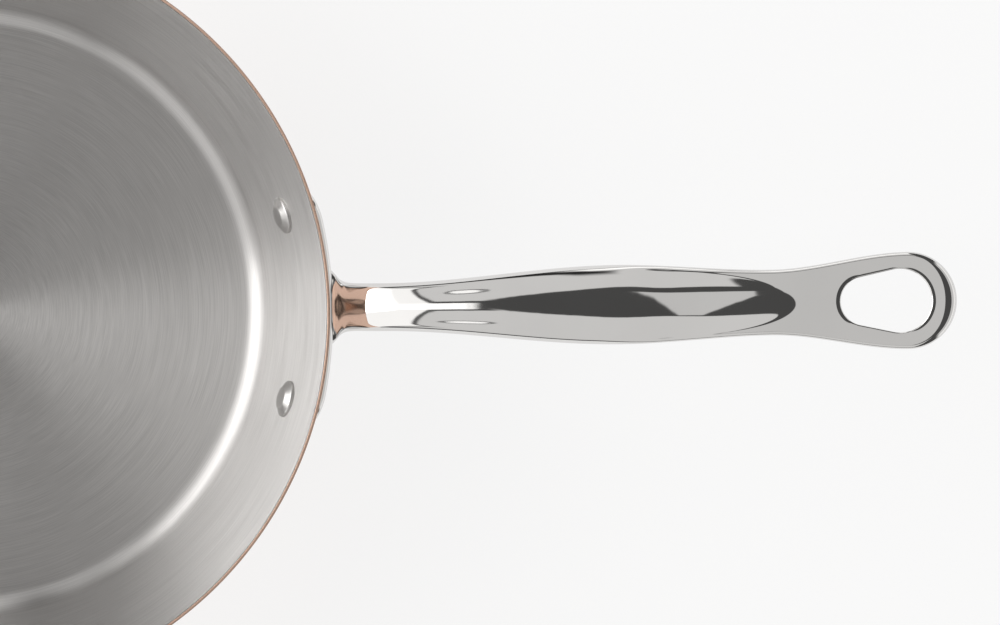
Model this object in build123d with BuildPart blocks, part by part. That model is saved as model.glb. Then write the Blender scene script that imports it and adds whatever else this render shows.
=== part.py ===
"""A flared saute pan of copper lined with stainless steel, with one long cast handle.

The pan stands on the XY plane with its axis on Z, and the handle runs out along +X.
The wall leans outwards in a straight cone from a rounded corner up to a square-cut rim.
The handle is one steel casting: a curved flange that lies on the wall, a neck that climbs
steeply past the rim, a crowned grip, and a flat spade with a pear-shaped hanging loop.
Two rivets clamp the flange to the wall, with bevelled heads inside the pan.
"""

from build123d import *

import os
from math import asin, cos, radians, sin, sqrt, tan

os.makedirs("parts", exist_ok=True)

# The pan, in millimetres
rim_radius = 140.0
pan_height = 70.0
wall_lean_degrees = 20.4
base_bend_radius = 12.0
copper_thickness = 1.0
lining_thickness = 0.5

# The rivets: how far from the flange's ends, and how much higher than its middle they come through
rivet_to_end = 10.0
rivet_lift = 0.6
rivet_shank_radius = 3.0
rivet_head_radius = 6.8
rivet_head_height = 3.2
rivet_head_edge = 1.4
rivet_disc_radius = 3.9
rivet_disc_drop = 0.3
rivet_tail_radius = 5.2
rivet_tail_height = 1.3
rivet_tail_edge = 0.4
rivet_hole_clearance = 0.05

# The handle's flange
flange_width = 88.0
flange_height = 38.0
flange_thickness = 6.0
flange_corner_radius = 12.0
flange_edge_radius = 1.5
flange_top_gap = 12.0

# The handle's neck and its root on the flange
neck_width = 17.6
neck_thickness = 9.0
neck_slope = 40.0
neck_start = 5.8
root_width = 30.0
root_top_radius = 4.5
root_under_radius = 12.0
root_sink = 0.5
neck_length = 10.5

# The grip, waist and loop: reach is measured from the rim, rise from the rim's height
handle_reach = 227.4
tip_rise = 22.0
grip_width = 28.9
grip_thickness = 13.0
waist_width = 23.8
loop_width = 35.2
loop_thickness = 6.8

# The hanging hole
hole_length = 33.0
hole_big_radius = 11.5
hole_small_radius = 8.8
hole_edge_radius = 1.6
hole_to_tip = 9.0

# How far a cutting solid runs past what it cuts
overrun = 5.0

sheet_thickness = copper_thickness + lining_thickness
wall_lean = radians(wall_lean_degrees)


def wall_radius(height, depth=0):
    """Radius of the wall's surface that lies a depth inside the outer one, at a height."""
    return rim_radius - (pan_height - height) * tan(wall_lean) - depth / cos(wall_lean)


def layer_profile(outer_depth, inner_depth):
    """Half section of one layer of the sheet, between two depths below the outer surface."""
    paths = []
    for depth in (outer_depth, inner_depth):
        corner = (wall_radius(depth, depth), depth)
        top = (wall_radius(pan_height, depth), pan_height)
        path = FilletPolyline((0, depth), corner, top, radius=base_bend_radius - depth)
        paths.append(path)
    Line(paths[0] @ 0, paths[1] @ 0)
    Line(paths[0] @ 1, paths[1] @ 1)


def pan_layer(outer_depth, inner_depth):
    """One layer of the pan, spun round the axis, with its two rivet holes."""
    with BuildPart() as layer:
        with BuildSketch(Plane.XZ):
            with BuildLine():
                layer_profile(outer_depth, inner_depth)
            make_face()
        revolve(axis=Axis.Z)
        cut_rivet_holes()
    return layer


# The flange lies on the wall, some way below the rim, and the rivets follow it
flange_middle = pan_height - flange_top_gap - flange_height / 2 * cos(wall_lean)
rivet_height = flange_middle + rivet_lift
rivet_wall_radius = wall_radius(rivet_height, sheet_thickness)
rivet_half_angle = asin((flange_width / 2 - rivet_to_end) / rivet_wall_radius)


def rivet_plane(side):
    """Plane on the lining at a rivet, facing into the pan along the wall's normal."""
    around = side * rivet_half_angle
    seat = (rivet_wall_radius * cos(around), rivet_wall_radius * sin(around), rivet_height)
    inward = (-cos(wall_lean) * cos(around), -cos(wall_lean) * sin(around), sin(wall_lean))
    return Plane(origin=seat, x_dir=(-sin(around), cos(around), 0), z_dir=inward)


rivet_planes = [rivet_plane(side) for side in (1, -1)]
grip_of_rivet = sheet_thickness + flange_thickness


def cut_rivet_holes():
    """Drills both rivet holes through the piece in hand."""
    for plane in rivet_planes:
        with BuildSketch(plane.offset(overrun)) as hole:
            Circle(rivet_shank_radius + rivet_hole_clearance)
        extrude(hole.sketch, amount=-(grip_of_rivet + 2 * overrun), mode=Mode.SUBTRACT)


copper_shell = pan_layer(0, copper_thickness)
copper_shell.part.label = "copper_shell"

steel_lining = pan_layer(copper_thickness, sheet_thickness)
steel_lining.part.label = "steel_lining"

# The space that the pan takes up, filled: what sits on the wall is cut back to it
with BuildPart() as pan_space:
    with BuildSketch(Plane.XZ):
        with BuildLine():
            Polyline(
                (0, 0),
                (wall_radius(0), 0),
                (rim_radius, pan_height),
                (0, pan_height),
                close=True,
            )
        make_face()
    revolve(axis=Axis.Z)


def flange_point(up, out):
    """Point over the flange's middle line: a way up along the wall, and out from the wall."""
    along = wall_radius(flange_middle) + up * sin(wall_lean) + out * cos(wall_lean)
    return Vector(along, 0, flange_middle + up * cos(wall_lean) - out * sin(wall_lean))


flange_plane = Plane(
    origin=flange_point(0, 0),
    x_dir=(0, 1, 0),
    z_dir=(cos(wall_lean), 0, -sin(wall_lean)),
)
flange_bow = rim_radius - sqrt(rim_radius**2 - (flange_width / 2) ** 2)

with BuildPart() as flange_shell:
    with BuildSketch(Plane.XZ):
        with BuildLine():
            Polyline(
                (wall_radius(0), 0),
                (wall_radius(pan_height), pan_height),
                (wall_radius(pan_height, -flange_thickness), pan_height),
                (wall_radius(0, -flange_thickness), 0),
                close=True,
            )
        make_face()
    revolve(axis=Axis.Z)
    with BuildSketch(flange_plane.offset(flange_thickness + overrun)):
        RectangleRounded(flange_width, flange_height, flange_corner_radius)
    extrude(amount=-(flange_thickness + flange_bow + 2 * overrun), mode=Mode.INTERSECT)
    outer_face = flange_shell.faces().filter_by(GeomType.CONE).sort_by(Axis.X)[-1]
    fillet(outer_face.edges(), radius=flange_edge_radius)


# The neck leaves the flange through two arcs, one above it and one under it
neck_turn = radians(neck_slope) + wall_lean
neck_along = Vector(cos(radians(neck_slope)), 0, sin(radians(neck_slope)))
wall_up = Vector(sin(wall_lean), 0, cos(wall_lean))
wall_out = Vector(cos(wall_lean), 0, -sin(wall_lean))

top_corner_up = flange_height / 2 - root_sink
under_corner_out = flange_thickness - root_sink
neck_back = (neck_start + neck_thickness * sin(neck_turn) - under_corner_out) / cos(neck_turn)
under_corner_up = top_corner_up - neck_thickness * cos(neck_turn) - neck_back * sin(neck_turn)
top_corner = flange_point(top_corner_up, neck_start)
under_corner = flange_point(under_corner_up, under_corner_out)


def corner_point(corner, radius, turn, arriving, towards, share):
    """Point at a share of the arc that rounds a corner of the neck's side view."""
    start = corner - arriving * (radius * tan(turn / 2))
    angle = turn * share
    return start + arriving * (radius * sin(angle)) + towards * (radius * (1 - cos(angle)))


def root_top(share):
    """Point on the arc over the root, from the flange's top face to the neck's upper line."""
    return corner_point(top_corner, root_top_radius, neck_turn, wall_out, wall_up, share)


def root_under(share):
    """Point on the arc under the root, from the flange's outer face to the neck's lower line."""
    turn = radians(90) - neck_turn
    return corner_point(under_corner, root_under_radius, turn, wall_up, wall_out, share)


# The root's sections. Each is a share of the two arcs and a share of the root's extra width.
root_arc_shares = ((0, 1), (0.3, 0.97), (0.65, 0.87), (1, 0.70))

# Behind them the sections fan round until they stand square to the neck.
# Each is a share of the way along the neck and a share of the root's extra width.
root_fan_shares = ((0.3, 0.12), (0.6, 0.01), (1, 0))

# Stations of the middle line. Each is a share of the way out and of the way up from the
# neck's end to where the loop's half circle starts.
station_shares = (
    (0.0161, 0.0720),
    (0.0360, 0.1372),
    (0.0615, 0.2028),
    (0.0931, 0.2693),
    (0.1319, 0.3391),
    (0.1788, 0.4136),
    (0.2339, 0.4922),
    (0.2972, 0.5714),
    (0.3686, 0.6492),
    (0.4451, 0.7224),
    (0.5165, 0.7820),
    (0.5828, 0.8301),
    (0.6440, 0.8666),
    (0.7001, 0.8913),
    (0.7562, 0.9097),
    (0.8174, 0.9279),
    (0.8990, 0.9562),
)
loop_rise_share = 0.944

# Where along the reach the handle has its neck's, its grip's, its waist's and its loop's full size
neck_share = 0.089
grip_share = 0.458
waist_share = 0.706
loop_share = 1 - loop_width / 2 / handle_reach

# The grip's crown starts to sink at one place and has sunk into the flat spade at the other
crown_end_share = 0.537
spade_share = 0.765

# How much of the half thickness the edge arcs take
neck_edge_share = 0.86
grip_edge_share = 0.62
spade_edge_share = 0.84

# Angles of the sections on the half circle that closes the tip, as seen from above
tip_angles = (0, 20, 38, 53, 65, 75, 82, 87)


def between(start, end, share):
    """A size that lies a share of the way from one size to another."""
    return start + (end - start) * share


def eased(place, places, sizes):
    """Size at a place, running smoothly and without overshoot from each full size to the next."""
    for index in range(1, len(places)):
        if place < places[index]:
            share = max(place - places[index - 1], 0) / (places[index] - places[index - 1])
            return between(sizes[index - 1], sizes[index], share**2 * (3 - 2 * share))
    return sizes[-1]


def handle_sizes(place):
    """Width, thickness and edge share of the handle's section at a share of the reach.

    Past the loop's middle the width closes along a half circle, and the last stretch,
    half the loop's thickness long, rounds the tip's edge.
    """
    width_places = (neck_share, grip_share, waist_share, loop_share)
    width = eased(place, width_places, (neck_width, grip_width, waist_width, loop_width))
    crown_places = (neck_share, grip_share, crown_end_share, spade_share)
    thicknesses = (neck_thickness, grip_thickness, grip_thickness, loop_thickness)
    thickness = eased(place, crown_places, thicknesses)
    edge_shares = (neck_edge_share, grip_edge_share, grip_edge_share, spade_edge_share)
    edge_share = eased(place, crown_places, edge_shares)
    if place > loop_share:
        width *= sqrt(1 - ((place - loop_share) / (1 - loop_share)) ** 2)
    rounding = max(loop_thickness / 2 - (1 - place) * handle_reach, 0)
    thickness *= sqrt(1 - (rounding / (loop_thickness / 2)) ** 2)
    return width, thickness, edge_share


def crown_points(half_width, crown, edge_radius):
    """Where the crown's arc meets the edge's arc: both are tangent there."""
    inset = half_width - edge_radius
    crown_radius = (inset**2 + crown**2 - edge_radius**2) / (2 * (crown - edge_radius))
    reach = crown_radius / (crown_radius - edge_radius)
    return inset * reach, crown - crown_radius + (crown_radius - crown) * reach


def handle_section(middle, along, width, thickness, edge_share):
    """A lens with rounded edges: two wide arcs above and below, and two tight ones at the sides."""
    half, crown = width / 2, thickness / 2
    across, up = crown_points(half, crown, crown * edge_share)
    with BuildSketch(Plane(origin=middle, x_dir=(0, 1, 0), z_dir=along)) as section:
        with BuildLine():
            ThreePointArc((-across, up), (0, crown), (across, up))
            ThreePointArc((across, up), (half, 0), (across, -up))
            ThreePointArc((across, -up), (0, -crown), (-across, -up))
            ThreePointArc((-across, -up), (-half, 0), (-across, up))
        make_face()
    return section.sketch


def root_section(top, under, width_share):
    """A section that reaches from a point on the upper line to a point on the lower line."""
    height = top - under
    along = Vector(height.Z, 0, -height.X)
    width = between(neck_width, root_width, width_share)
    return handle_section((top + under) / 2, along, width, height.length, neck_edge_share)


# The neck's end: square to the upper line, one neck length from the arc over the root
neck_top_end = root_top(1) + neck_along * neck_length
neck_down = Vector(neck_along.Z, 0, -neck_along.X)
neck_under_end = neck_top_end + neck_down * neck_thickness

sections = []
for arc_share, width_share in root_arc_shares:
    sections.append(root_section(root_top(arc_share), root_under(arc_share), width_share))
for fan_share, width_share in root_fan_shares:
    top = root_top(1) + (neck_top_end - root_top(1)) * fan_share
    under = root_under(1) + (neck_under_end - root_under(1)) * fan_share
    sections.append(root_section(top, under, width_share))

neck_middle = (neck_top_end + neck_under_end) / 2
loop_start = Vector(rim_radius + loop_share * handle_reach, 0, pan_height + loop_rise_share * tip_rise)
tip_end = Vector(rim_radius + handle_reach, 0, pan_height + tip_rise)
tip_line = tip_end - loop_start

stations = []
for way_share, rise_share in station_shares:
    x = between(neck_middle.X, loop_start.X, way_share)
    z = between(neck_middle.Z, loop_start.Z, rise_share)
    stations.append(Vector(x, 0, z))
with BuildLine():
    spine = Spline(neck_middle, *stations, loop_start, tangents=(neck_along, tip_line))

for middle in stations:
    place = (middle.X - rim_radius) / handle_reach
    along = spine.tangent_at(spine.param_at_point(middle))
    sections.append(handle_section(middle, along, *handle_sizes(place)))

for angle in tip_angles:
    share = sin(radians(angle))
    place = between(loop_share, 1, share)
    sections.append(handle_section(loop_start + tip_line * share, tip_line, *handle_sizes(place)))

# The hanging hole lies square to the tip's own line
tip_along = tip_line.normalized()
hole_plane = Plane(origin=tip_end, x_dir=tip_along, z_dir=(-tip_along.Z, 0, tip_along.X))
hole_big_centre = -(hole_to_tip + hole_big_radius)
hole_small_centre = hole_small_radius - hole_to_tip - hole_length

with BuildPart() as handle:
    loft(sections)
    with BuildSketch(hole_plane) as hanging_hole:
        with Locations((hole_big_centre, 0)):
            Circle(hole_big_radius)
        with Locations((hole_small_centre, 0)):
            Circle(hole_small_radius)
        make_hull()
    extrude(hanging_hole.sketch, amount=loop_thickness + overrun, both=True, mode=Mode.SUBTRACT)
    hole_edges = handle.edges(Select.NEW).filter_by(GeomType.LINE, reverse=True)
    fillet(hole_edges, radius=hole_edge_radius)
    add(flange_shell.part)
    add(pan_space.part, mode=Mode.SUBTRACT)
    cut_rivet_holes()

# The seam between the root and the flange runs at a low angle, so its edges are made to meet
handle.part = handle.part.fix()
handle.part.label = "handle"


def rivet_profile():
    """Half section of a rivet: a bevelled head with a low disc on it, a shank and a domed tail."""
    tail_seat = -grip_of_rivet
    disc_edge = rivet_head_height - rivet_disc_drop
    TangentArc((0, rivet_head_height), (rivet_disc_radius, disc_edge), tangent=(1, 0))
    Polyline(
        (rivet_disc_radius, disc_edge),
        (rivet_head_radius, rivet_head_edge),
        (rivet_head_radius, 0),
        (rivet_shank_radius, 0),
        (rivet_shank_radius, tail_seat),
        (rivet_tail_radius, tail_seat),
        (rivet_tail_radius, tail_seat - rivet_tail_edge),
    )
    TangentArc(
        (0, tail_seat - rivet_tail_height),
        (rivet_tail_radius, tail_seat - rivet_tail_edge),
        tangent=(1, 0),
    )
    Line((0, tail_seat - rivet_tail_height), (0, rivet_head_height))


def make_rivet(plane):
    """One rivet, its head cut back by the lining, which curves round it."""
    with BuildPart() as rivet:
        with BuildSketch(Plane(origin=plane.origin, x_dir=plane.x_dir, z_dir=-plane.y_dir)) as half:
            with BuildLine():
                rivet_profile()
            make_face()
        revolve(half.sketch, axis=Axis(plane.origin, plane.z_dir))
        add(steel_lining.part, mode=Mode.SUBTRACT)
    return rivet


export_step(copper_shell.part, "parts/copper_shell.step")
export_step(steel_lining.part, "parts/steel_lining.step")
export_step(handle.part, "parts/handle.step")

for side, plane in zip(("left", "right"), rivet_planes):
    rivet = make_rivet(plane)
    rivet.part.label = f"rivet_{side}"
    export_step(rivet.part, f"parts/rivet_{side}.step")
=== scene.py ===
# %% [markdown]
# # A copper saute pan with a cast steel handle
#
# The pan is two metals in one sheet: copper outside, which carries the heat, and a thin
# brushed steel lining inside. Its handle is a single steel casting, ground and polished to a
# mirror, and two rivets hold it on the wall. This lesson dresses a finished CAD model of the
# pan: every surface is worked out again as a smooth numpy surface from the same sizes, because
# a mirror finish shows each facet of a coarse mesh.

from math import cos, pi, radians, sin, tan

import bmesh
import bpy
import numpy as np
from mathutils import Matrix, Vector


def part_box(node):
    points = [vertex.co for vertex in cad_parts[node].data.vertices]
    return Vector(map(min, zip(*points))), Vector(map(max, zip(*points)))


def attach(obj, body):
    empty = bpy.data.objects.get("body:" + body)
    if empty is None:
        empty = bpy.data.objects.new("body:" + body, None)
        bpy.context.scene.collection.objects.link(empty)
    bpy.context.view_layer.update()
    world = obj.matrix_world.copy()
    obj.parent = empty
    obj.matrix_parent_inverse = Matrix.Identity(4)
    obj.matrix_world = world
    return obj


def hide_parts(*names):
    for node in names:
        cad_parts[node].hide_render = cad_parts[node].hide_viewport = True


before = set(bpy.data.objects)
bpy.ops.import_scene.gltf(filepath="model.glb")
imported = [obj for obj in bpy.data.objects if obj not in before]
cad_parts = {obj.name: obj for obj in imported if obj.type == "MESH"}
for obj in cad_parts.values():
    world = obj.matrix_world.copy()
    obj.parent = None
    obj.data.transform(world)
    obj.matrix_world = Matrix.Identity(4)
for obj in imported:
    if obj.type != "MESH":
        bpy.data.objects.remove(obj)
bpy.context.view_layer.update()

# %% [markdown]
# ## Sizes
#
# All sizes are in millimetres, as on a maker's drawing, and each mesh is brought to metres when
# it is built. The overall sizes are read from the frame, so they can't drift away from the CAD
# model, and the rest are the drawing's own values.

# %% Sizes of the pan
MM = 0.001

shell_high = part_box("copper_shell")[1]
rim_radius, pan_height = round(shell_high.x / MM, 1), round(shell_high.z / MM, 1)
handle_reach = round(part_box("handle")[1].x / MM, 1) - rim_radius

wall_lean = radians(20.4)
base_bend_radius = 12.0
copper_thickness = 1.0
sheet_thickness = 1.5
rim_edge_radius = 0.16
print("rim radius", rim_radius, "height", pan_height, "handle reach", handle_reach)

# %% [markdown]
# ## Surfaces from grids
#
# Every piece is made of patches. A patch is a grid of points worked out as whole numpy arrays,
# and its faces follow from the grid's shape alone. Patches that meet share the points of their
# common border, so merging doubles joins them, and new normals turn every face outwards.

# %% Helpers that turn grids of points into one closed mesh
def grid_faces(rows, columns, closed=False):
    """Quads between neighbours of a grid of points; closed joins the last column to the first."""
    start = columns * np.arange(rows - 1)[:, None]
    column = np.arange(columns if closed else columns - 1)
    near, far = start + column, start + (column + 1) % columns
    return np.stack([near, far, far + columns, near + columns], axis=-1).reshape(-1, 4)


def place(name, data):
    """An object at the origin for a mesh or a camera."""
    placed = bpy.data.objects.new(name, data)
    bpy.context.scene.collection.objects.link(placed)
    return placed


class Patches:
    """Collects points and faces of one piece, then makes the piece of them."""

    def __init__(self):
        self.points, self.faces = np.empty((0, 3)), []

    def add(self, points, faces):
        """Adds points of shape (n, 3) and faces that number them from zero."""
        self.faces += (faces + len(self.points)).tolist()
        self.points = np.vstack([self.points, points])

    def grid(self, points, closed=False):
        """Adds a patch of shape (rows, columns, 3)."""
        self.add(points.reshape(-1, 3), grid_faces(*points.shape[:2], closed))

    def cap(self, ring, centre):
        """Closes a ring of points with a fan of triangles round a centre."""
        order = np.arange(len(ring))
        fan = np.stack([np.full(len(ring), len(ring)), order, np.roll(order, -1)], axis=-1)
        self.add(np.vstack([ring, centre]), fan)

    def solid(self, points, first_centre, last_centre):
        """Adds a grid that runs round, and closes its first and its last row."""
        self.grid(points, closed=True)
        self.cap(points[0], first_centre)
        self.cap(points[-1], last_centre)

    def make(self, name, node, material):
        """Builds the mesh in metres, joins the patches, and lets the piece stand for its CAD node."""
        mesh = bpy.data.meshes.new(name)
        mesh.from_pydata(self.points * MM, [], self.faces)
        shape = bmesh.new()
        shape.from_mesh(mesh)
        bmesh.ops.remove_doubles(shape, verts=shape.verts, dist=1e-7)
        bmesh.ops.recalc_face_normals(shape, faces=shape.faces)
        open_edges = sum(1 for edge in shape.edges if len(edge.link_faces) != 2)
        shape.to_mesh(mesh)
        shape.free()
        mesh.polygons.foreach_set("use_smooth", np.ones(len(mesh.polygons), bool))
        mesh.materials.append(material)
        piece = place(name, mesh)
        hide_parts(node)
        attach(piece, "root")
        print(name, "faces", len(mesh.polygons), "open edges", open_edges)
        return piece


# %% [markdown]
# ## Light and shade built from nodes
#
# Metal has almost no colour of its own: what makes it look like metal is how its fine grinding
# lines spread the reflections. The lining and the copper are ground while they turn on a
# lathe, so their lines run round the axis. One node group makes such lines for both. It
# stretches a noise so that it changes fast from one ring to the next and slowly along a ring,
# and it uses the cosine and sine of the angle, so that no seam shows.

# %% Small helpers for node trees
class Nodes:
    """Adds nodes to one tree and links them by name."""

    def __init__(self, tree):
        self.tree = tree

    def add(self, kind, inputs=None, **settings):
        """A node of a kind, with its settings and with values or links for its input sockets."""
        node = self.tree.nodes.new(kind)
        for key, value in settings.items():
            setattr(node, key, value)
        return self.fill(node, inputs or {})

    def fill(self, node, inputs):
        """Sets or links input sockets of a node."""
        for key, value in inputs.items():
            if isinstance(value, bpy.types.NodeSocket):
                self.tree.links.new(value, node.inputs[key])
            else:
                node.inputs[key].default_value = value
        return node

    def noise(self, where, scale, detail):
        """Values of a noise, around one half."""
        inputs = {"Vector": where, "Scale": scale, "Detail": detail}
        return self.add("ShaderNodeTexNoise", inputs).outputs["Fac"]

    def math(self, operation, a, b=0.0):
        """The result of one sum."""
        return self.add("ShaderNodeMath", {0: a, 1: b}, operation=operation).outputs[0]

    def times(self, first, *others):
        """The product of several values."""
        for other in others:
            first = self.math("MULTIPLY", first, other)
        return first

    def plus(self, a, b):
        """The sum of two values."""
        return self.math("ADD", a, b)

    def minus(self, a, b):
        """The difference of two values."""
        return self.math("SUBTRACT", a, b)

    def length(self, a, b):
        """Length of a direction from its two parts: the root of a^2 + b^2."""
        return self.math("SQRT", self.plus(self.times(a, a), self.times(b, b)))

    def vector(self, operation, a, b=(0, 0, 0)):
        """The resulting vector of one vector sum."""
        return self.add("ShaderNodeVectorMath", {0: a, 1: b}, operation=operation).outputs[0]

    def remap(self, value, low, high, to_low, to_high):
        """A value's range turned into another, smoothly at both ends."""
        inputs = {"Value": value, "From Min": low, "From Max": high, "To Min": to_low, "To Max": to_high}
        return self.add("ShaderNodeMapRange", inputs, interpolation_type="SMOOTHSTEP").outputs[0]

    def rises(self, value, low, high):
        """Zero below one limit and one above the other."""
        return self.remap(value, low, high, 0.0, 1.0)

    def falls(self, value, low, high):
        """One below one limit and zero above the other."""
        return self.remap(value, low, high, 1.0, 0.0)

    def tint(self, colour, tone):
        """A colour made a little lighter or darker by a factor."""
        inputs = {0: colour, "Scale": tone}
        return self.add("ShaderNodeVectorMath", inputs, operation="SCALE").outputs[0]

    def bump(self, height, strength, depth):
        """Normals tilted by a height, given as a value and the depth that it stands for."""
        inputs = {"Strength": strength, "Distance": depth, "Height": height}
        return self.add("ShaderNodeBump", inputs).outputs[0]


def new_material(name):
    """A material with its node helper, its shader and the object's own coordinates."""
    material = bpy.data.materials.new(name)
    material.use_nodes = True
    nodes, shader = Nodes(material.node_tree), material.node_tree.nodes["Principled BSDF"]
    print("finish", name)
    return material, nodes, shader, nodes.add("ShaderNodeTexCoord").outputs["Object"]


# %% The group that makes lathe lines
lathe_lines = bpy.data.node_groups.new("lathe lines", "ShaderNodeTree")
for label, side, kind in (("Position", "INPUT", "Vector"), ("Lines", "INPUT", "Float"),
                          ("Fine", "OUTPUT", "Float"), ("Broad", "OUTPUT", "Float")):
    lathe_lines.interface.new_socket(label, in_out=side, socket_type="NodeSocket" + kind)
n = Nodes(lathe_lines)
given, result = n.add("NodeGroupInput"), n.add("NodeGroupOutput")
x, y, z = n.add("ShaderNodeSeparateXYZ", {0: given.outputs["Position"]}).outputs
radius = n.length(x, y)
safe_radius = n.math("MAXIMUM", radius, 0.0005)
ring_place = n.plus(radius, z)
line_length, broad_share = 4.5, 9.0


def lathe_noise(lines, detail):
    """Noise whose first coordinate runs across the lines, and whose others run round the axis."""
    around = [n.times(n.math("DIVIDE", part, safe_radius), line_length) for part in (x, y)]
    where = n.add("ShaderNodeCombineXYZ", {0: n.times(ring_place, lines), 1: around[0], 2: around[1]})
    return n.noise(where.outputs[0], 1.0, detail)


lines = given.outputs["Lines"]
broad_lines = n.math("DIVIDE", lines, broad_share)
n.fill(result, {"Fine": lathe_noise(lines, 2.0), "Broad": lathe_noise(broad_lines, 3.0)})
print("group", lathe_lines.name, [s.name for s in lathe_lines.interface.items_tree])

# %% [markdown]
# The lathe lines tilt the surface only across themselves, so a lamp shows in them as a bright
# fan that runs out from the axis. The shader does that with its anisotropy, which needs the
# direction across the lines: straight out from the axis. The floor is ground more coarsely
# than the wall, and the bend between them is the finest, so the roughness changes with height.

# %% Metal turned on a lathe
bend_from, bend_full, wall_from, wall_full = 0.00153, 0.0020, 0.0045, 0.0100
stain_scale, broad_part, rough_change = 14.0, 0.4, 0.06
line_bump, line_depth = 0.15, 0.00003
noise_span = (0.25, 0.75)


def turned_metal(name, colour, rough_places, anisotropy, lines, line_share, stain_share):
    """Brushed metal, with the roughness of its floor, bend and wall, and shares that change its colour."""
    material, m, shader, position = new_material(name)
    grind = m.add("ShaderNodeGroup", node_tree=lathe_lines)
    m.fill(grind, {"Position": position, "Lines": lines})
    fine, broad = grind.outputs["Fine"], grind.outputs["Broad"]
    broad_tone = broad_part * line_share
    tone = m.plus(m.remap(fine, *noise_span, 1 - line_share, 1 + line_share),
                  m.remap(broad, *noise_span, -broad_tone, broad_tone))
    tone = m.plus(tone, m.remap(m.noise(position, stain_scale, 4.0), 0.3, 0.7, -stain_share, stain_share))
    height = m.add("ShaderNodeSeparateXYZ", {0: position}).outputs["Z"]
    floor_rough, bend_rough, wall_rough = rough_places
    rough = m.plus(m.remap(height, bend_from, bend_full, floor_rough, bend_rough),
                   m.remap(height, wall_from, wall_full, 0.0, wall_rough - bend_rough))
    uneven = m.remap(broad, *noise_span, 1 - rough_change, 1 + rough_change)
    m.fill(shader, {
        "Base Color": m.tint(colour, tone),
        "Roughness": m.times(rough, uneven),
        "Normal": m.bump(fine, line_bump, line_depth),
        "Tangent": m.vector("NORMALIZE", m.vector("MULTIPLY", position, (1, 1, 0))),
        "Metallic": 1.0,
        "Anisotropic": anisotropy,
    })
    return material


lining_finish = turned_metal("turned steel", (0.63, 0.617, 0.607), (0.50, 0.33, 0.38), 0.95, 5200.0, 0.09, 0.03)
copper_finish = turned_metal("turned copper", (0.84, 0.58, 0.455), (0.20, 0.20, 0.20), 0.40, 2600.0, 0.03, 0.04)

# %% [markdown]
# The handle and its flange are polished on soft wheels. That leaves a mirror, but never an
# optical one: the surface keeps a faint waviness that bends the edges of reflections, and
# hair-thin wipe marks. The waves come from a plain noise, and the marks from one that is
# stretched along the handle.

# %% Mirror polished casting, and satin rivets
hair_stretch, hair_scale, wave_scale, cloud_scale = (1.0, 30.0, 30.0), 120.0, 70.0, 25.0


def polished_metal(name, colour, roughness, wave_depth):
    """A polished casting with faint waves and hair lines that run along X."""
    material, m, shader, position = new_material(name)
    along = m.add("ShaderNodeMapping", {"Vector": position, "Scale": hair_stretch}).outputs[0]
    hair = m.noise(along, hair_scale, 3.0)
    cloud = m.noise(position, cloud_scale, 5.0)
    m.fill(shader, {
        "Base Color": m.tint(colour, m.remap(cloud, 0.3, 0.7, 0.975, 1.02)),
        "Roughness": m.plus(m.remap(hair, 0.3, 0.8, roughness * 0.8, roughness * 1.25),
                            m.remap(cloud, 0.45, 0.8, 0.0, roughness * 0.5)),
        "Normal": m.bump(m.noise(position, wave_scale, 2.0), 1.0, wave_depth),
        "Metallic": 1.0,
    })
    return material


handle_finish = polished_metal("polished steel casting", (0.73, 0.72, 0.71), 0.035, 0.00003)
rivet_finish = polished_metal("satin rivet steel", (0.56, 0.55, 0.54), 0.36, 0.00025)

# %% [markdown]
# ## The pan's sheet
#
# Both layers are turned shapes: a half section carried round the axis. The half section is a
# flat floor, an arc and a leaning wall. The rim is cut square, with edges just broken by a
# file, which gives the copper line that shows all round. Rows crowd together at the bends.

# %% The half section of the sheet at a depth below its outer face
def wall_radius(height, depth=0.0):
    """Radius of the wall at a height, on the surface that lies a depth inside the outer one."""
    return rim_radius - (pan_height - height) * tan(wall_lean) - depth / cos(wall_lean)


def shares(steps):
    """Shares from zero to one in equal steps."""
    return np.linspace(0, 1, steps + 1)


def way(start, end, share):
    """Points on the straight way from start to end: start + (end - start) * share."""
    return np.array(start) + (np.array(end) - np.array(start)) * share


def spread(start, end, count):
    """Points from start to end that crowd together at both ends, by the share (1 - cos) / 2."""
    return way(start, end, (1 - np.cos(np.linspace(0, pi, count)))[:, None] / 2)


def arc(centre, radius, first, last, count):
    """Points of an arc in the section plane, with angles measured from straight outwards."""
    angle = np.linspace(first, last, count)[:, None]
    return np.array(centre) + radius * np.hstack([np.cos(angle), np.sin(angle)])


floor_count, bend_count, wall_count, rim_count = 24, 25, 40, 7


def sheet_section(depth, outside):
    """Half section of one face of the sheet, from the axis to the rim's edge, which is rounded."""
    bend = base_bend_radius - depth
    turn = pi / 2 - wall_lean
    flat_end = wall_radius(depth, depth) - bend * tan(turn / 2)
    bend_arc = arc((flat_end, depth + bend), bend, -pi / 2, -wall_lean, bend_count)
    side = 1 if outside else -1
    drop = rim_edge_radius * (1 + side * sin(wall_lean)) / cos(wall_lean)
    edge_centre = np.array((wall_radius(pan_height, depth) - side * drop, pan_height - rim_edge_radius))
    faces_out = -wall_lean if outside else pi - wall_lean
    edge = arc(edge_centre, rim_edge_radius, faces_out, pi / 2, rim_count)
    floor = spread((0, depth), bend_arc[0], floor_count)[1:]
    wall = spread(bend_arc[-1], edge[0], wall_count)
    return np.vstack([floor, bend_arc[1:-1], wall, edge[1:]])


# %% Carry the half sections round the axis
def turned(section, columns):
    """Grid of a half section carried round Z: each point runs a circle at its own height."""
    angle = np.linspace(0, 2 * pi, columns, endpoint=False)
    radius, height = section.T[:, :, None]
    return np.stack([radius * np.cos(angle), radius * np.sin(angle), height + 0 * angle], axis=-1)


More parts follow.
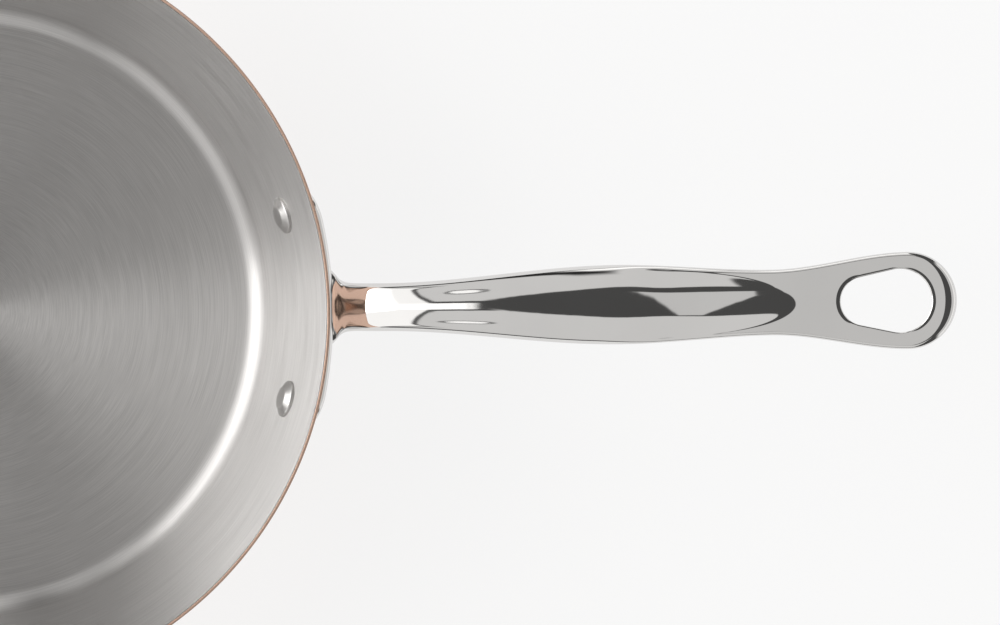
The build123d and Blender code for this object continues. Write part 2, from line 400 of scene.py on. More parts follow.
def make_layer(name, outer_depth, inner_depth, columns, material):
    """One layer as a turned piece: out along its outer face, over the rim and back along its inner face."""
    piece = Patches()
    section = np.vstack([sheet_section(outer_depth, True), sheet_section(inner_depth, False)[::-1]])
    piece.solid(turned(section, columns), (0, 0, outer_depth), (0, 0, inner_depth))
    return piece.make(name, name.replace("_skin", ""), material)


make_layer("copper_shell_skin", 0.0, copper_thickness, 400, copper_finish)
make_layer("steel_lining_skin", copper_thickness, sheet_thickness, 480, lining_finish)

# %% [markdown]
# ## The handle's line
#
# Seen from the side, the handle climbs out of its flange through two arcs, runs straight for a
# short neck at 40 degrees, and then flattens in one long curve. Seen from above, it is a narrow
# neck, a full grip, a waist and a wide loop. Each section is a lens that stands on an upper and
# a lower point, so the same code serves the fanned root and the straight grip. Towards the loop
# the lens turns into a flat plate, and the grip's crown sinks into it like the bow of a boat.

# %% Sizes of the flange, the neck and the grip
flange_width, flange_height, flange_thickness = 88.0, 38.0, 6.0
flange_corner_radius, flange_edge_radius, flange_top_gap = 12.0, 1.5, 12.0
neck_width, neck_thickness, neck_slope, neck_start, neck_length = 17.6, 9.0, radians(40.0), 5.8, 10.5
root_top_radius, root_under_radius, root_sink = 4.5, 12.0, 0.5
root_extra_width, root_flare_middle, root_flare_run = 13.0, 1.2, 1.5
tip_rise, loop_rise_share = 22.0, 0.944
grip_width, waist_width, loop_width = 28.9, 23.8, 35.2
grip_thickness, loop_thickness = 13.0, 6.8
hole_length, hole_big_radius, hole_small_radius, hole_to_tip, spade_ahead = 33.0, 11.5, 8.8, 9.0, 7.0

loop_share = 1 - loop_width / 2 / handle_reach
width_places = np.array([0.089, 0.458, 0.706, loop_share])
widths = np.array([neck_width, grip_width, waist_width, loop_width])
lens_places = np.array([0.089, 0.458, 0.765])
lens_thicknesses = np.array([neck_thickness, grip_thickness, grip_thickness])
lens_edge_shares = np.array([0.86, 0.62, 0.62])
blend_places = np.array([0.42, 0.53])

print("handle", handle_reach, "long, grip", grip_width, "wide")

# %% Sizes of the spade's faces and edges, and the stations of the middle line
plate_crown_radius = 420.0
corner_round, corner_part = 1.6, 0.75
tip_rounds = (4.4, 2.6)
bevel_width, bevel_slope, hole_turn_radius = 2.2, radians(11), 0.5

nose_x, nose_run, nose_rise = 308.5, 50.0, 3.1
nose_radii = np.array([27.2, 23.0])
nose_places = np.array([0.458, 0.55])
crease_softness, crown_fade = 0.25, 4.0

station_shares = np.array([
    (0.0161, 0.0720), (0.0360, 0.1372), (0.0615, 0.2028), (0.0931, 0.2693), (0.1319, 0.3391), (0.1788, 0.4136),
    (0.2339, 0.4922), (0.2972, 0.5714), (0.3686, 0.6492), (0.4451, 0.7224), (0.5165, 0.7820), (0.5828, 0.8301),
    (0.6440, 0.8666), (0.7001, 0.8913), (0.7562, 0.9097), (0.8174, 0.9279), (0.8990, 0.9562),
])
print("stations", len(station_shares))

# %% Two ways to run smoothly through given sizes and points
def size_at(x, places, sizes):
    """Sizes at a distance from the pan's axis: between two given places they follow s * s * (3 - 2 s)."""
    place = (x - rim_radius) / handle_reach
    index = np.clip(np.searchsorted(places, place) - 1, 0, len(places) - 2)
    share = np.clip((place - places[index]) / (places[index + 1] - places[index]), 0, 1)
    return way(sizes[index], sizes[index + 1], share**2 * (3 - 2 * share))


def cubic_through(knots, points, start_slope, end_slope, where):
    """Smooth curve through points at given knots: cubics with steady curvature and set end slopes."""
    step = np.diff(knots)[:, None]
    rise = np.diff(points, axis=0) / step
    count = len(knots)
    matrix, right = np.zeros((count, count)), np.zeros_like(points)
    matrix[0, 0] = matrix[-1, -1] = 1
    right[0], right[-1] = start_slope, end_slope
    inner = np.arange(1, count - 1)
    before, after = 1 / step[:-1], 1 / step[1:]
    for beside, entry in ((-1, before), (0, 2 * (before + after)), (1, after)):
        matrix[inner, inner + beside] = entry[:, 0]
    right[1:-1] = 3 * (rise[:-1] * before + rise[1:] * after)
    slope = np.linalg.solve(matrix, right)
    piece = np.clip(np.searchsorted(knots, where) - 1, 0, count - 2)
    h = step[piece]
    s = (where - knots[piece])[:, None] / h
    return (points[piece] * (1 + 2 * s) * (1 - s)**2 + points[piece + 1] * s**2 * (3 - 2 * s)
            + h * slope[piece] * s * (1 - s)**2 - h * slope[piece + 1] * s**2 * (1 - s))


print("width halfway", size_at(rim_radius + handle_reach / 2, width_places, widths).round(2))


# %% Side view: the corners where flange and neck meet
wall_up = np.array((sin(wall_lean), cos(wall_lean)))
wall_out = np.array((cos(wall_lean), -sin(wall_lean)))


def flange_point(up, out):
    """Section-plane point a way up along the wall and out from it, from the flange's middle."""
    height = pan_height - flange_top_gap - flange_height / 2 * cos(wall_lean)
    return np.array((wall_radius(height), height)) + up * wall_up + out * wall_out


neck_along = np.array((cos(neck_slope), sin(neck_slope)))
neck_down = np.array((sin(neck_slope), -cos(neck_slope)))
neck_turn = neck_slope + wall_lean

top_corner_up = flange_height / 2 - root_sink
under_corner_out = flange_thickness - root_sink
neck_back = (neck_start + neck_thickness * sin(neck_turn) - under_corner_out) / cos(neck_turn)
under_corner_up = top_corner_up - neck_thickness * cos(neck_turn) - neck_back * sin(neck_turn)


def corner_arc(corner, radius, turn, arriving, towards, share):
    """Points of the arc that rounds a corner of the side view, at shares of its turn."""
    start = corner - arriving * radius * tan(turn / 2)
    angle = (turn * share)[:, None]
    return start + arriving * radius * np.sin(angle) + towards * radius * (1 - np.cos(angle))


print("the neck turns by", round(neck_turn, 3))

# %% Side view: upper and lower points of root and neck, and the stations of the long curve
root_share = shares(14)
top_corner = flange_point(top_corner_up, neck_start)
under_corner = flange_point(under_corner_up, under_corner_out)
root_top = corner_arc(top_corner, root_top_radius, neck_turn, wall_out, wall_up, root_share)
root_under = corner_arc(under_corner, root_under_radius, pi / 2 - neck_turn, wall_up, wall_out, root_share)
neck_top_end = root_top[-1] + neck_along * neck_length
neck_under_end = neck_top_end + neck_down * neck_thickness
neck_top = way(root_top[-1], neck_top_end, shares(12)[1:, None])
neck_under = way(root_under[-1], neck_under_end, shares(12)[1:, None])

neck_middle = (neck_top_end + neck_under_end) / 2
loop_start = np.array((rim_radius + loop_share * handle_reach, pan_height + loop_rise_share * tip_rise))
tip_end = np.array((rim_radius + handle_reach, pan_height + tip_rise))
tip_along = (tip_end - loop_start) / np.linalg.norm(tip_end - loop_start)
stations = np.vstack([neck_middle, way(neck_middle, loop_start, station_shares), loop_start])
knots = np.concatenate([[0], np.cumsum(np.linalg.norm(np.diff(stations, axis=0), axis=1))])

print("neck ends at", neck_top_end.round(1), "loop starts at", loop_start.round(1))

# %% [markdown]
# The long curve passes through a few stations of the drawing. A cubic spline with its knots at
# the true distances between them keeps its curvature steady, which matters here: on a mirror
# the eye follows the curvature, not the shape.

# %% Sample the middle line and hang the sections on it
direction_step = 0.01
fine_from, fine_to = 30.0, 104.0


def on_line(distance):
    """Points of the middle line at distances from the neck's end, up to the loop's start."""
    return cubic_through(knots, stations, neck_along, tip_along, np.clip(distance, 0, knots[-1]))


def along_spine(distance):
    """Middle points, directions, and the directions square to them; straight past the loop's start."""
    inside = np.minimum(distance, knots[-1])
    direction = on_line(inside + direction_step) - on_line(inside - direction_step)
    direction /= np.linalg.norm(direction, axis=1)[:, None]
    upright = np.stack([-direction[:, 1], direction[:, 0]], axis=1)
    return on_line(inside) + tip_along * (distance - inside)[:, None], direction, upright


def plan_half(middle_x):
    """Half width of the handle, seen from above, at a distance from the pan's axis."""
    return size_at(middle_x, width_places, widths) / 2


spine_length = knots[-1] + loop_width / 2
spade_start = spine_length - hole_to_tip - hole_length - spade_ahead

grip_parts = ((0, fine_from, 30), (fine_from, fine_to, 90), (fine_to, spade_start, 120))
grip_distance = np.concatenate([np.linspace(start, end, steps + 1)[1:] for start, end, steps in grip_parts])
grip_middle, _, grip_up = along_spine(grip_distance)
grip_half = size_at(grip_middle[:, 0], lens_places, lens_thicknesses)[:, None] / 2

upper = np.vstack([root_top, neck_top, grip_middle + grip_up * grip_half])
lower = np.vstack([root_under, neck_under, grip_middle - grip_up * grip_half])
middle = (upper + lower) / 2
middle_x = middle[:, 0]
flare = root_extra_width / (1 + np.exp((middle_x - rim_radius - root_flare_middle) / root_flare_run))
section_half = plan_half(middle_x) + flare / 2
section_height = np.linalg.norm(upper - lower, axis=1)
section_crown = section_height / 2
section_edge = section_crown * size_at(middle_x, lens_places, lens_edge_shares)
section_up = (upper - lower) / section_height[:, None]
print("sections", len(middle))


# %% [markdown]
# ## The lens section
#
# Two circles make a quarter of the lens: a large one for the crown and a small one for the
# edge. They touch where their normals agree, so one parameter, the angle of the normal, runs
# smoothly over both. That spaces the points by how fast the surface turns, which is just what
# a mirror needs.

# %% The quarter lens as a function of the normal's angle
crown_steps, edge_steps = 36, 12
crown_share, edge_share = shares(crown_steps), shares(edge_steps)[1:]


def quarter_lens(half, crown, edge):
    """Across and up of the lens's upper right quarter for each section, from the top to the middle plane.

    With inset = half - edge, the crown's circle has the radius
    (inset^2 + crown^2 - edge^2) / (2 (crown - edge)).
    """
    half, crown, edge = (size[:, None] for size in (half, crown, edge))
    inset = half - edge
    radius = (inset**2 + crown**2 - edge**2) / (2 * (crown - edge))
    meeting = np.arcsin(inset / (radius - edge))
    on_crown, on_edge = meeting * crown_share, meeting + (pi / 2 - meeting) * edge_share
    across = [radius * np.sin(on_crown), inset + edge * np.sin(on_edge)]
    up = [crown - radius + radius * np.cos(on_crown), edge * np.cos(on_edge)]
    return np.hstack(across), np.hstack(up)


print("points of a quarter", len(crown_share) + len(edge_share))


# %% The flat plate, and the crown that sinks into it
def plate_height(across):
    """Height of the flat plate's faintly crowned face over the middle plane."""
    return loop_thickness / 2 - plate_crown_radius + np.sqrt(plate_crown_radius**2 - across**2)


def plate_corner(half, width, height):
    """How far across the plate's face reaches, and the angle at which its corner takes over."""
    reach = half - width
    for _ in range(4):
        start = np.arctan(width / height * np.tan(np.arcsin(reach / plate_crown_radius)))
        reach = half - width * (1 - np.sin(start))
    return reach, start


def plate_edge(half, width, height, share):
    """Across and up along the plate's edge: round the corner's ellipse, then down its upright side."""
    reach, start = plate_corner(half, width, height)
    angle = start + (pi / 2 - start) * np.clip(share / corner_part, 0, 1)
    side_top = plate_height(reach) - height * np.cos(start)
    down = np.clip((share - corner_part) / (1 - corner_part), 0, 1)
    return half - width + width * np.sin(angle), side_top * (1 - down) + height * np.cos(angle)


def whole_ring(across, up):
    """A quarter's points mirrored to a whole ring, which runs once round the section."""
    across_ring = [across, across[:, -2::-1], -across[:, 1:], -across[:, -2:0:-1]]
    up_ring = [up, -up[:, -2::-1], -up[:, 1:], up[:, -2:0:-1]]
    return np.hstack(across_ring), np.hstack(up_ring)


def crown_over_plate(middle_x):
    """The plate's quarter with the sinking crown over it: the higher of the two, with a softened crease.

    The crown is an arc for each section. Its top stands over the plate by
    rise * (1 - (1 - d / run)^2), with d the distance back from the nose, where it dives under.
    """
    half = plan_half(middle_x)[:, None]
    reach, _ = plate_corner(half, corner_round, corner_round)
    face_across = reach * crown_share
    side_across, side_up = plate_edge(half, corner_round, corner_round, edge_share)
    across = np.hstack([face_across, side_across])
    up = np.hstack([plate_height(face_across), side_up])
    back = np.minimum(nose_x - middle_x, nose_run)[:, None]
    top = loop_thickness / 2 + nose_rise * (1 - (1 - back / nose_run) ** 2)
    radius = size_at(middle_x, nose_places, nose_radii)[:, None]
    over = top - radius + np.sqrt(radius**2 - across**2) - up
    higher = (over + np.sqrt(over**2 + crease_softness**2)) / 2
    fade = np.clip((middle_x[-1] - middle_x[:, None]) / crown_fade, 0, 1)
    return across, up + higher * fade * (up > 0)


def in_space(middle, up_direction, across, up):
    """Points in space: up along the section's own up in the plane y = 0, and across along Y."""
    x = middle[..., 0] + up * up_direction[..., 0]
    z = middle[..., 1] + up * up_direction[..., 1]
    return np.stack([x, across + 0 * x, z], axis=-1)


print("the spade's sides lie lower by", round(loop_thickness / 2 - plate_height(loop_width / 2), 2))

# %% Blend the two quarters along the handle, and set the rings in space
lens_across, lens_up = quarter_lens(section_half, section_crown, section_edge)
plate_across, plate_up = crown_over_plate(middle_x)
blend = size_at(middle_x, blend_places, np.array([0.0, 1.0]))[:, None]
across, up = whole_ring(way(lens_across, plate_across, blend), way(lens_up, plate_up, blend))
rings = in_space(middle[:, None, :], section_up[:, None, :], across, up)
print("ring points", rings.shape)

handle = Patches()
handle.grid(rings, closed=True)
handle.cap(rings[0], in_space(middle[0], section_up[0], 0.0, 0.0))

# %% [markdown]
# ## The spade and its pear-shaped hole
#
# Rings can't go past a hole. The spade is laid out as on a flat drawing instead, with the hole
# as two circles and their common tangents. Each point of the hole's border is paired with a
# point where the face meets the rounded edge, and the grid runs straight from one to the other,
# so its rows go once round the hole. A gentle bevel and a small round lead over the hole's rim,
# and a strip of its own rounds the outer edge, more broadly at the tip.

# %% Lay out the spade: the hole's border and the crown's border, point by point
def spade_half(distance):
    """Half width of the spade at a distance along the middle line."""
    return plan_half(on_line(distance)[:, 0])


def crown_reach(distance):
    """How far across the plate's face reaches before its corner begins."""
    return plate_corner(spade_half(distance), corner_round, corner_round)[0]


def circle_points(centre, radius, angles):
    """Points of a circle on a flat drawing, and their outward directions."""
    direction = np.stack([np.cos(angles), np.sin(angles)], axis=1)
    return np.array(centre) + radius * direction, direction


small_centre = spine_length - hole_to_tip - hole_length + hole_small_radius
big_centre = spine_length - hole_to_tip - hole_big_radius
loop_centre = knots[-1]
tangent_lean = np.arcsin((hole_big_radius - hole_small_radius) / (big_centre - small_centre))

side_steps, tip_steps, field_steps, wall_steps = 36, 96, 24, 6
back_angles = np.linspace(pi / 2 + tangent_lean, 3 * pi / 2 - tangent_lean, 2 * crown_steps + 1)
front_angles = np.linspace(-pi / 2 - tangent_lean, pi / 2 + tangent_lean, tip_steps + 1)
back_hole, back_out = circle_points((small_centre, 0.0), hole_small_radius, back_angles)
front_hole, front_out = circle_points((big_centre, 0.0), hole_big_radius, front_angles)
side_share = shares(side_steps)[1:-1, None]
right_hole = way(back_hole[-1], front_hole[0], side_share)
left_hole = way(front_hole[-1], back_hole[0], side_share)
hole_border = np.vstack([back_hole, right_hole, front_hole, left_hole])
hole_out = np.vstack([back_out, back_out[-1] + 0 * right_hole, front_out, back_out[0] + 0 * left_hole])

back_across = crown_reach(np.array([spade_start])) * np.linspace(1, -1, 2 * crown_steps + 1)
back_crown = np.stack([np.full_like(back_across, spade_start), back_across], axis=1)
side_distance = way(spade_start, loop_centre, side_share)[:, 0]
left_crown = np.stack([side_distance, crown_reach(side_distance)], axis=1)[::-1]
right_crown = left_crown[::-1] * (1, -1)
tip_angles = np.linspace(-pi / 2, pi / 2, tip_steps + 1)
tip_across, tip_up = (way(corner_round, tip_round, np.cos(tip_angles) ** 2) for tip_round in tip_rounds)
front_reach = plate_corner(loop_width / 2, tip_across, tip_up)[0][:, None]
front_crown = circle_points((loop_centre, 0.0), front_reach, tip_angles)[0]
crown_border = np.vstack([back_crown, right_crown, front_crown, left_crown])
print("spade columns", len(hole_border), len(crown_border))


# %% Raise the drawing into space: crown above, crown below, and the rim of the hole
def raise_spade(flat, lift, side):
    """Points over the flat drawing, on the crown's upper or lower side, lifted towards that side."""
    distance, across = flat.reshape(-1, 2).T
    past = np.maximum(distance - loop_centre, 0.0)
    height = plate_height(np.hypot(past, across)) + np.broadcast_to(lift, flat.shape[:-1]).ravel()
    centre, _, upright = along_spine(distance)
    return in_space(centre, upright, across, side * height).reshape(flat.shape[:-1] + (3,))


turn_slope, gentle_slope = np.linspace(pi / 2, bevel_slope, 10)[:-1], np.linspace(bevel_slope, 0, 9)
rim_slope = np.concatenate([turn_slope, gentle_slope])[:, None]
bevel_radius = (bevel_width - hole_turn_radius * (1 - sin(bevel_slope))) / sin(bevel_slope)
gentle, steep = np.minimum(rim_slope, bevel_slope), np.maximum(rim_slope, bevel_slope)
rim_in = bevel_radius * np.sin(gentle) + hole_turn_radius * (np.sin(steep) - sin(bevel_slope))
rim_lift = -bevel_radius * (1 - np.cos(gentle)) - hole_turn_radius * (cos(bevel_slope) - np.cos(steep))
rim_flat = hole_border + hole_out * (bevel_width - rim_in)[..., None]
field_flat = way(rim_flat[-1], crown_border, shares(field_steps)[1:, None, None])

top_rim, under_rim = (raise_spade(rim_flat, rim_lift, side) for side in (1, -1))
top_field, under_field = (raise_spade(field_flat, 0.0, side) for side in (1, -1))
hole_wall = way(under_rim[0], top_rim[0], shares(wall_steps)[1:-1, None, None])
round_the_hole = np.concatenate([under_field[::-1], under_rim[::-1], hole_wall, top_rim, top_field])
handle.grid(round_the_hole, closed=True)
print("round the hole", round_the_hole.shape)


# %% The rounded outer edge, from the crown above to the crown below
def edge_strip():
    """Grid of the outer edge: columns run round the tip, and rows turn from above to below."""
    distance = np.concatenate([[spade_start], side_distance, np.full(tip_steps + 1, loop_centre),
                               side_distance[::-1], [spade_start]])
    heading = np.concatenate([np.full(side_steps, -pi / 2), tip_angles, np.full(side_steps, pi / 2)])
    beside = np.full(side_steps, corner_round)
    corner_across, corner_up = (np.concatenate([beside, at_tip, beside]) for at_tip in (tip_across, tip_up))
    share = shares(edge_steps)[:, None]
    reach, height = plate_edge(spade_half(distance), corner_across, corner_up, share)
    reach, height = np.vstack([reach, reach[-2::-1]]), np.vstack([height, -height[-2::-1]])
    centre, direction, upright = along_spine(distance)
    flat_along = reach * np.cos(heading)
    points = in_space(np.broadcast_to(centre, reach.shape + (2,)), upright, reach * np.sin(heading), height)
    points[..., 0] += flat_along * direction[:, 0]
    points[..., 2] += flat_along * direction[:, 1]
    return points


handle.grid(edge_strip())

# %% [markdown]
# ## The flange
#
# The flange is a piece of a cone that lies on the pan's wall. On its own flat drawing it is a
# rounded rectangle. Each point of the drawing is pushed along the drawing's normal until it
# meets the wall's cone, or the cone that lies one flange thickness further out. That is a
# quadratic equation, so whole arrays of points are solved at once.

# %% Solve for the cones, then build the flange's face, edge, side and back
flange_middle = flange_point(0.0, 0.0)
corner_steps, long_steps, face_steps, side_rows, back_steps = 16, 40, 21, 5, 11


def on_cone(flat, lift):
    """Points over the drawing at a height over the wall: x^2 + y^2 equals the cone's radius squared."""
    across, up_wall = flat[..., 0], flat[..., 1]
    base_x, base_z = (middle + up_wall * up for middle, up in zip(flange_middle, wall_up))
    base_radius = wall_radius(base_z, -lift)
    grow = wall_out[1] * tan(wall_lean)
    a = wall_out[0]**2 - grow**2
    b = 2 * (base_x * wall_out[0] - base_radius * grow)
    c = base_x**2 + across**2 - base_radius**2
    out = (-b + np.sqrt(b**2 - 4 * a * c)) / (2 * a)
    return np.stack([base_x + out * wall_out[0], across, base_z + out * wall_out[1]], axis=-1)


def rounded_rectangle(width, height, radius):
    """Border points of a rounded rectangle and their outward directions, once round."""
    quarter = shares(corner_steps) * pi / 2
    corners = []
    for turn, (side_x, side_y) in enumerate([(1, 1), (-1, 1), (-1, -1), (1, -1)]):
        centre = side_x * (width / 2 - radius), side_y * (height / 2 - radius)
        corners.append(circle_points(centre, radius, quarter + turn * pi / 2))
    border, out = [], []
    for (corner, outwards), (following, _) in zip(corners, corners[1:] + corners[:1]):
        border += [corner, way(corner[-1], following[0], shares(long_steps)[1:-1, None])]
        out += [outwards, outwards[-1] + 0 * border[-1]]
    return np.vstack(border), np.vstack(out)


border, border_out = rounded_rectangle(flange_width, flange_height, flange_corner_radius)
edge_turn = np.linspace(0, pi / 2, 9)[:, None]
edge_flat = border - border_out * flange_edge_radius * (1 - np.cos(edge_turn))[..., None]
edge_points = on_cone(edge_flat, flange_thickness)
edge_drop = (flange_edge_radius * (1 - np.sin(edge_turn)))[..., None]
edge_points -= np.array((wall_out[0], 0.0, wall_out[1])) * edge_drop
back_border = on_cone(border, 0.0)
side_points = way(back_border, edge_points[0], shares(side_rows)[:-1, None, None])
back_points = on_cone(border * shares(back_steps)[1:-1, None, None], 0.0)
face_points = on_cone(edge_flat[-1] * shares(face_steps)[-2:0:-1, None, None], flange_thickness)

flange = np.concatenate([back_points, side_points, edge_points, face_points])
handle.solid(flange, on_cone(np.zeros(2), 0.0), on_cone(np.zeros(2), flange_thickness))
handle.make("handle_casting", "handle", handle_finish)

# %% [markdown]
# ## The rivets
#
# A rivet is turned too, about an axis that stands square on the wall. Its head is a low dome
# inside the pan and its tail a lower one on the flange. One section carries head, shank and
# tail, and the head's skirt reaches a little into the lining, because the lining is hollow
# there and the skirt is flat.

# %% Carry the rivet's section round its own axis
rivet_to_end, rivet_lift = 10.0, 0.6
rivet_shank_radius = 3.0
rivet_head_radius, rivet_head_height, rivet_head_edge = 6.8, 3.2, 1.4
rivet_disc_radius, rivet_disc_drop = 3.9, 0.3
rivet_tail_radius, rivet_tail_height, rivet_tail_edge = 5.2, 1.3, 0.4
skirt, head_edge_radius, head_edge_drop = 0.25, 0.8, 0.62
disc_step, disc_lip, step_width = 0.3, 0.05, 0.2
rivet_columns, dome_steps, grip = 96, 13, sheet_thickness + flange_thickness


def dome(radius, height, edge):
    """Section of a dome from the axis to its edge: an arc whose top is level, over a short upright edge."""
    rise = height - edge
    big = (radius**2 + rise**2) / (2 * rise)
    angle = np.arcsin(radius / big) * shares(dome_steps)
    return np.stack([big * np.sin(angle), height - big + big * np.cos(angle)], axis=1)


def rivet_section():
    """Half section from the head's top to the tail's end, as radius and height over the lining."""
    bevel_height = rivet_head_height - rivet_disc_drop
    disc = dome(rivet_disc_radius - disc_step, rivet_head_height, bevel_height + disc_lip)[1:]
    slope = np.arctan2(bevel_height - rivet_head_edge, rivet_head_radius - rivet_disc_radius)
    bevel_top = (rivet_disc_radius + step_width, bevel_height - step_width * tan(slope))
    edge_centre = (rivet_head_radius - head_edge_radius, rivet_head_edge - head_edge_drop)
    head_edge = arc(edge_centre, head_edge_radius, pi / 2 - slope, 0, 8)
    bevel = spread(bevel_top, head_edge[0], 10)[:-1]
    head_side = spread(head_edge[-1], (rivet_head_radius, -skirt), 5)[1:]
    shank = spread((rivet_shank_radius, -skirt), (rivet_shank_radius, skirt - grip), 6)
    tail = dome(rivet_tail_radius, rivet_tail_height, rivet_tail_edge)[:0:-1] * (1, -1) - (0, grip)
    return np.vstack([disc, bevel, head_edge, head_side, shank, (rivet_tail_radius, skirt - grip), tail])


def make_rivet(name, side):
    """One rivet: its section is turned about Z, and then set on the lining, square to the wall."""
    height = flange_middle[1] + rivet_lift
    seat_radius = wall_radius(height, sheet_thickness)
    around = side * np.arcsin((flange_width / 2 - rivet_to_end) / seat_radius)
    seat = np.array((seat_radius * cos(around), seat_radius * sin(around), height))
    inward = np.array((-cos(wall_lean) * cos(around), -cos(wall_lean) * sin(around), sin(wall_lean)))
    level = np.array((-sin(around), cos(around), 0.0))
    points = seat + turned(rivet_section(), rivet_columns) @ np.array((level, np.cross(inward, level), inward))
    piece = Patches()
    piece.solid(points, seat + inward * rivet_head_height, seat - inward * (grip + rivet_tail_height))
    return piece.make(f"{name}_turned", name, rivet_finish)


make_rivet("rivet_left", 1)
make_rivet("rivet_right", -1)

# %% [markdown]
# ## The studio
#
# A mirror is a picture of the room, so the room is drawn with care. The world's light depends
# only on its direction, given as two tilts in degrees from straight up. Each part of the room
# is a mask, one inside and zero outside, that lays its own strength over what is there. It
# starts with the dark ceiling.

# %% Directions as tilts, and masks that lie over each other
world = bpy.data.worlds.new("studio")
bpy.context.scene.world = world
world.use_nodes = True
w = Nodes(world.node_tree)
direction = w.add("ShaderNodeTexCoord").outputs["Generated"]
dx, dy, dz = w.add("ShaderNodeSeparateXYZ", {0: direction}).outputs


def angle_of(a, b):
    """Angle in degrees of the direction with part b ahead and part a to the side."""
    return w.times(w.math("ARCTAN2", a, b), 180 / pi)


def between(value, low, high, soft):
    """One where a value lies between two limits, falling smoothly to zero over a soft border."""
    return w.times(w.rises(value, low - soft, low + soft), w.falls(value, high - soft, high + soft))


def lay_over(under, *parts):
    """Lays parts of the room over what is there: each is a strength, and a mask that says where."""
    for strength, mask in parts:
        under = w.plus(under, w.times(mask, w.minus(strength, under)))
    return under


def in_oval(middle, half):
    """How far out a direction lies in an oval of tilts: zero in its middle and one on its border."""
    out = [w.math("DIVIDE", w.minus(tilt, m), h) for tilt, m, h in zip((tilt_x, tilt_y), middle, half)]
    return w.length(*out)


tilt_x, tilt_y = angle_of(dx, dz), angle_of(dy, dz)
from_zenith = w.times(w.math("ARCCOSINE", dz), 180 / pi)
round_near, round_far = angle_of(dy, dx), angle_of(dy, w.times(dx, -1.0))
aside = w.math("ABSOLUTE", tilt_y)

ceiling = w.add("ShaderNodeValue").outputs[0]
ceiling.default_value = 0.08
print("ceiling", ceiling.default_value)

# %% [markdown]
# Pale cloth hangs on both sides like a tent with an oval opening. It makes the two light bands
# along the grip. Behind the handle's tip stands a paler wall, which lights the tip's rounded
# edge. Two small lamps in dark frames hang before the cloth, and a low lamp and a dark stand
# are at the left.

# %% The tent, the wall behind the tip, the lamps and the stand
tent_light, near_light, near_low_light = 0.76, 0.68, 1.10
opening = w.times(w.rises(in_oval((-3.4, 3.0), (25.4, 27.0)), 0.97, 1.03), w.falls(from_zenith, 74.0, 84.0))
tent_end = w.falls(w.plus(tilt_x, w.times(tilt_y, 0.13)), 6.8, 8.2)
beside_strip = w.math("MAXIMUM", w.rises(tilt_x, -28.0, -26.0), w.rises(aside, 8.5, 10.0))
tent = w.times(opening, tent_end, beside_strip)
near_side = w.times(w.falls(w.math("ABSOLUTE", round_near), 45.0, 55.0), between(from_zenith, 41.0, 89.0, 1.0))
near_low = w.times(near_side, w.rises(from_zenith, 62.0, 66.0))
studio = lay_over(ceiling, (tent_light, tent), (near_light, near_side), (near_low_light, near_low))

lamp_light, lamp_frame_light, side_lamp_light, stand_light = 1.30, 0.25, 1.5, 0.03
for lamp_middle, lamp_half in (((-31.3, 27.5), (1.4, 3.4)), ((-31.8, -32.0), (2.0, 2.2))):
    out = in_oval(lamp_middle, lamp_half)
    lamp_frame, lamp = w.falls(out, 1.25, 1.45), w.falls(out, 0.80, 1.00)
    studio = lay_over(studio, (lamp_frame_light, lamp_frame), (lamp_light, lamp))
side_lamp = w.times(between(round_near, 90.0, 103.0, 2.0), between(from_zenith, 62.0, 86.0, 2.0))
stand = w.times(between(round_near, 105.0, 112.0, 1.5), between(from_zenith, 50.0, 92.0, 3.0))
studio = lay_over(studio, (side_lamp_light, side_lamp), (stand_light, stand))
print("tent", tent_light, "lamps", lamp_light)

# %% [markdown]
# Towards the pan's far side the room is one white window in a dark frame. Its middle is the
# brightest part of the room: it lays the fan on the ground floor of the pan. A strip of it
# reaches up between the two halves of the tent, which draws the white line along the grip.
# Overhead is a small grey field, cut off at a slant, which the flat loop shows all over.

# %% The window, and the field overhead
frame_light, window_light, middle_light, strip_light, field_light = 0.12, 1.27, 3.8, 1.6, 0.68
beyond = w.minus(w.math("ABSOLUTE", round_far), w.remap(from_zenith, 43.0, 56.0, 38.0, 57.0))
slanted = w.plus(tilt_x, w.times(aside, 0.21))
window_frame = w.times(w.falls(beyond, 2.0, 4.0), w.falls(slanted, -31.2, -30.4))
window = w.times(w.falls(beyond, -1.0, 1.0), w.falls(slanted, -32.4, -31.6))
middle_part = w.times(between(round_far, -9.0, 46.0, 2.5), w.falls(slanted, -46.0, -38.0))
middle_part = w.times(middle_part, w.falls(from_zenith, 88.0, 89.0))
strip = w.times(between(tilt_y, -6.5, 5.5, 0.8), between(tilt_x, -40.0, -29.0, 0.8))

far_cut = w.minus(tilt_x, w.times(w.minus(17.0, tilt_y), 0.11))
near_cut = w.plus(tilt_x, w.times(w.math("MAXIMUM", w.minus(12.0, tilt_y), 0.0), 0.30))
field = w.times(w.rises(far_cut, -13.1, -12.3), w.falls(near_cut, 5.9, 6.9), between(tilt_y, -22.0, 20.0, 0.8))
backdrop_light, camera_ray = 0.93, w.add("ShaderNodeLightPath").outputs["Is Camera Ray"]
seen = lay_over(studio, (frame_light, window_frame), (window_light, window), (middle_light, middle_part),
                (strip_light, strip), (field_light, field), (backdrop_light, camera_ray))
background = world.node_tree.nodes["Background"]
w.fill(background, {"Strength": seen, "Color": (1.0, 0.995, 0.985, 1.0)})
print("window", window_light, "its middle", middle_light, "field", field_light)

# %% [markdown]
# ## The floor
#
# The floor is a plain pale sheet. It has to look almost white and still carry the pan's soft
# shadow, so part of it glows for the camera and for mirrors only, and the rest is plain paint
# lit by the studio.

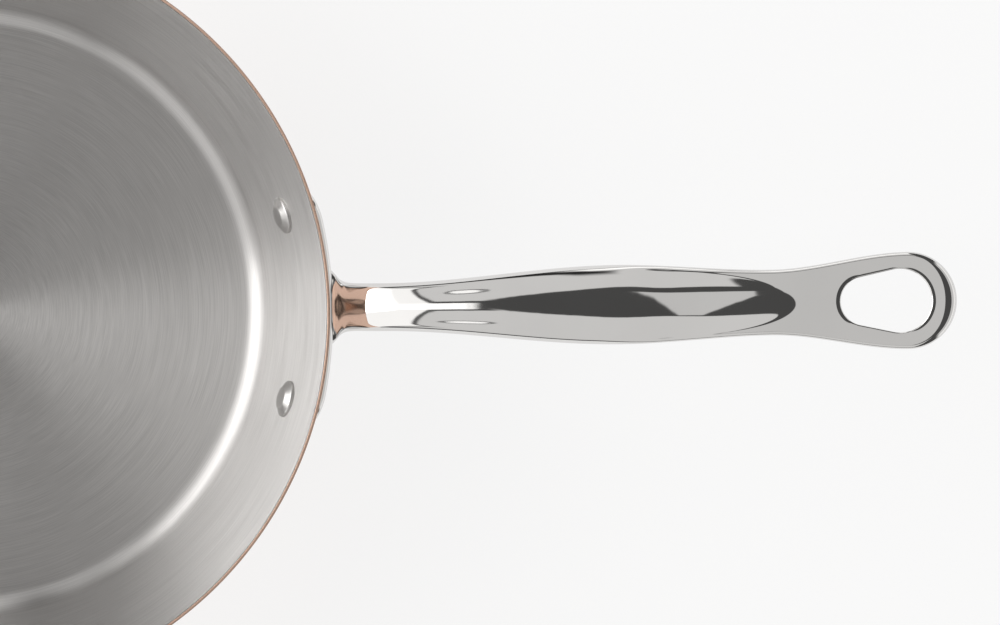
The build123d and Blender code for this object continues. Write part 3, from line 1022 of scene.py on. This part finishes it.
# %% A pale floor that keeps the shadow
floor_material, f, paint, _ = new_material("pale floor")
f.fill(paint, {"Base Color": (0.92, 0.92, 0.92, 1.0), "Roughness": 0.9, "Specular IOR Level": 0.1})
glow_strength, glow_share = 1.02, 0.80
glow = f.add("ShaderNodeEmission", {"Color": (1.0, 1.0, 1.0, 1.0), "Strength": glow_strength})
path = f.add("ShaderNodeLightPath").outputs
by_mirror = f.math("MAXIMUM", path["Is Glossy Ray"], path["Is Transmission Ray"])
seen_by = f.math("MAXIMUM", path["Is Camera Ray"], by_mirror)
mixed = f.add("ShaderNodeMixShader", {0: f.times(seen_by, glow_share), 1: paint.outputs[0], 2: glow.outputs[0]})
f.fill(f.tree.nodes["Material Output"], {"Surface": mixed.outputs[0]})

floor_radii, floor_columns = (0.4, 600.0, 6000.0), 96
floor_points = turned(np.array([(radius, 0.0) for radius in floor_radii]), floor_columns)
floor_faces = grid_faces(len(floor_radii), floor_columns, closed=True).tolist()
floor_faces.append(list(range(floor_columns - 1, -1, -1)))
floor_mesh = bpy.data.meshes.new("floor")
floor_mesh.from_pydata(floor_points.reshape(-1, 3) * MM, [], floor_faces)
floor_mesh.materials.append(floor_material)
floor = place("floor", floor_mesh)
print("floor faces", len(floor_faces))

# %% [markdown]
# ## The camera
#
# The picture is taken from nearly straight above with a long lens, so the pan's far side is cut
# off and the handle runs out to the right. The pan stays on its own axes, and the camera is
# turned by about one degree instead.

# %% Place the camera
camera_turn = Matrix.Rotation(radians(-0.95), 3, "Z")
picture_scale, picture_width, sensor_width = 0.365, 1000, 36.0
eye = camera_turn @ Vector((201.9, 72.9, 2762.0)) * MM
target = camera_turn @ Vector((201.9, 0.84, 70.0)) * MM
backwards = (eye - target).normalized()
rightwards = (camera_turn @ Vector((0, 1, 0))).cross(backwards).normalized()
upwards = backwards.cross(rightwards)

camera_data = bpy.data.cameras.new("camera")
camera_data.sensor_width = sensor_width
camera_data.lens = sensor_width * (eye - target).length / (picture_scale * MM * picture_width)
camera_data.clip_end = 20.0
camera = place("camera", camera_data)
bpy.context.scene.camera = camera
camera.matrix_world = Matrix((rightwards, upwards, backwards)).transposed().to_4x4()
camera.matrix_world.translation = eye
print("lens", round(camera_data.lens, 1))

# %% [markdown]
# ## Finish
#
# The view transform stays plain, so that colours come out as they are written.

# %% Keep the view transform plain
bpy.context.scene.view_settings.view_transform = "Standard"
bpy.context.view_layer.update()
